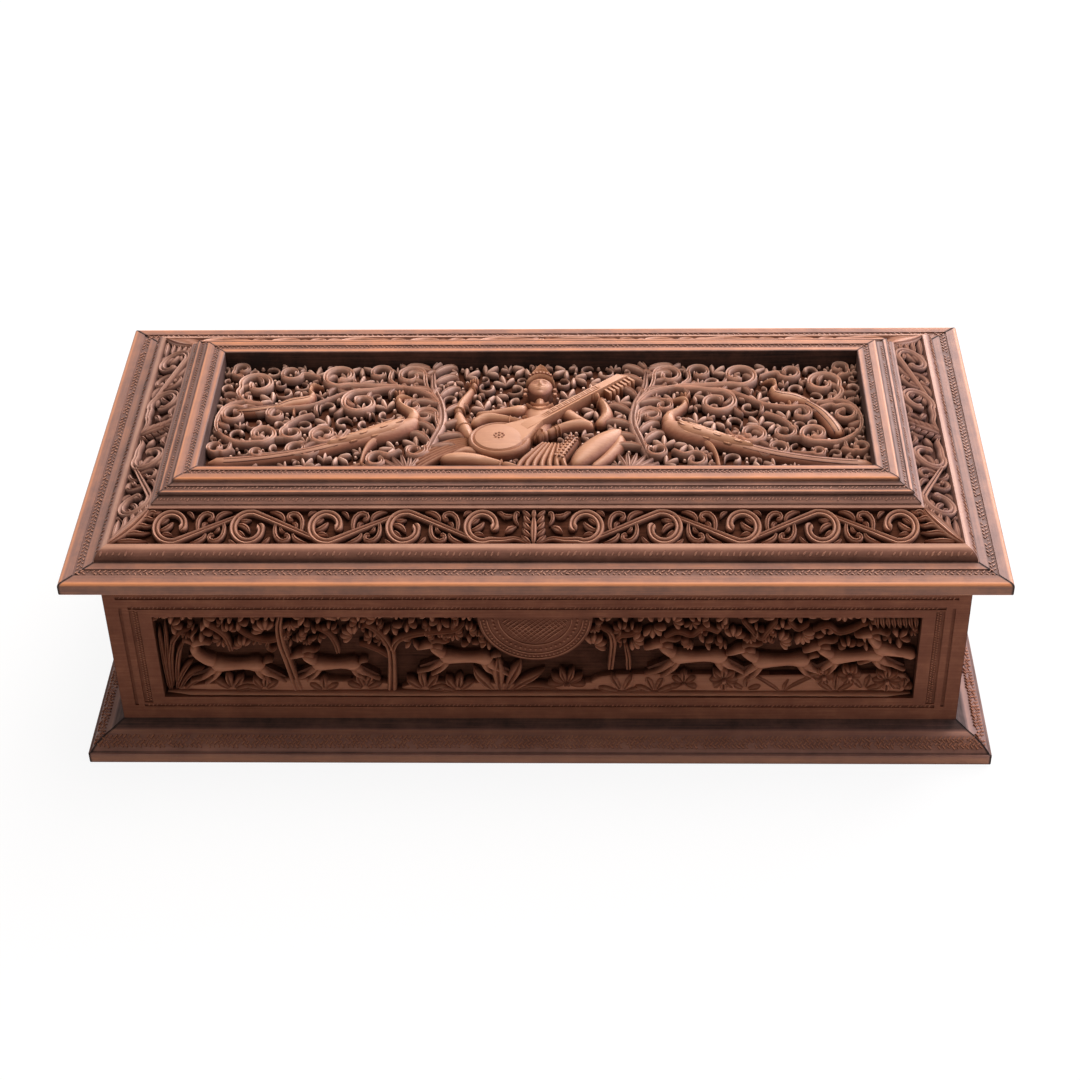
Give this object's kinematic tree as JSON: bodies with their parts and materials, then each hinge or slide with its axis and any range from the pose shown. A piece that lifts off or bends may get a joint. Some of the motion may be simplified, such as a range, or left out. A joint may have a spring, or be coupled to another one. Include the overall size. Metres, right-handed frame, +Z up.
{
  "type": "carved wooden glove box",
  "caption": "Long carved sandalwood keepsake box with a hinged stepped lid, scroll friezes, a sunk carved panel, carved walls and a moulded plinth.",
  "frame": {"origin": "middle of the underside of the plinth, on the surface that the box stands on", "axes": "+X along the length, +Z up, the front faces -Y"},
  "size_m": [0.3314, 0.1634, 0.1028],
  "materials": {
    "sandalwood_carving": "carved and oiled, dark in the ground",
    "sandalwood_moulding": "planed, stamped and oiled",
    "sandalwood_board": "planed bare",
    "brass": "dull, handled"
  },
  "bodies": {
    "box": {"back_wall": "sandalwood_carving", "bottom_board": "sandalwood_board", "front_wall": "sandalwood_carving", "hinge_base_leaf_left": "brass", "hinge_base_leaf_right": "brass", "hinge_pin_left": "brass", "hinge_pin_right": "brass", "left_wall": "sandalwood_carving", "plinth_back": "sandalwood_moulding", "plinth_front": "sandalwood_moulding", "plinth_left": "sandalwood_moulding", "plinth_right": "sandalwood_moulding", "right_wall": "sandalwood_carving"},
    "lid": {"cornice_back": "sandalwood_moulding", "cornice_front": "sandalwood_moulding", "cornice_left": "sandalwood_moulding", "cornice_right": "sandalwood_moulding", "frieze_back": "sandalwood_carving", "frieze_front": "sandalwood_carving", "frieze_left": "sandalwood_carving", "frieze_right": "sandalwood_carving", "hinge_lid_leaf_left": "brass", "hinge_lid_leaf_right": "brass", "lid_board": "sandalwood_board", "lid_rim_back": "sandalwood_moulding", "lid_rim_front": "sandalwood_moulding", "lid_rim_left": "sandalwood_moulding", "lid_rim_right": "sandalwood_moulding", "top_frame_back": "sandalwood_moulding", "top_frame_front": "sandalwood_moulding", "top_frame_left": "sandalwood_moulding", "top_frame_right": "sandalwood_moulding", "top_panel": "sandalwood_carving"}
  },
  "joints": [
    {"name": "lid_hinge", "type": "hinge", "parent": "box", "child": "lid", "pos_m": [0, 0.07185, 0.0796], "axis": [-1, 0, 0], "range_deg": [0, 100]}
  ]
}
